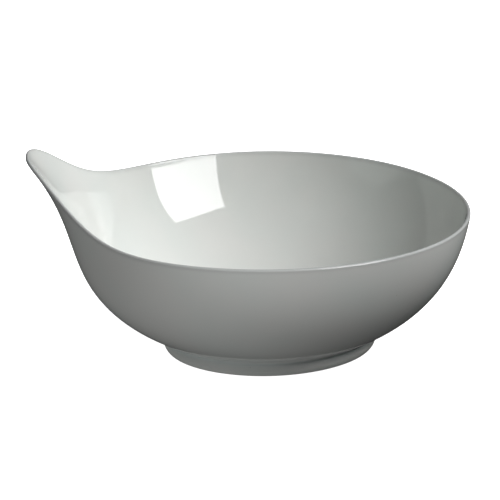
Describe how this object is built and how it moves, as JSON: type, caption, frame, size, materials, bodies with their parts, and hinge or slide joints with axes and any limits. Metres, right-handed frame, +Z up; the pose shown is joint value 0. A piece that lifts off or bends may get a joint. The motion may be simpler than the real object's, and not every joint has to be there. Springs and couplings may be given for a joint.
{
  "type": "porcelain dish with rim lug",
  "caption": "Shallow round glazed porcelain dish on a foot ring, its rim drawn up and out at one side into a cupped lug for holding and pouring.",
  "frame": {"origin": "at the centre of the foot ring, in the plane of its contact face", "axes": "+Z up out of the bowl, the lug towards -X, and the XZ plane is the dish's mirror plane"},
  "size_m": [0.1643, 0.1506, 0.077],
  "materials": {
    "biscuit": "matte",
    "white_glaze": "gloss"
  },
  "bodies": {
    "root": {"bowl_body": "biscuit", "pull_lug": "biscuit", "foot_ring": "biscuit", "glaze_coat": "white_glaze", "recess_glaze": "white_glaze"}
  },
  "joints": []
}
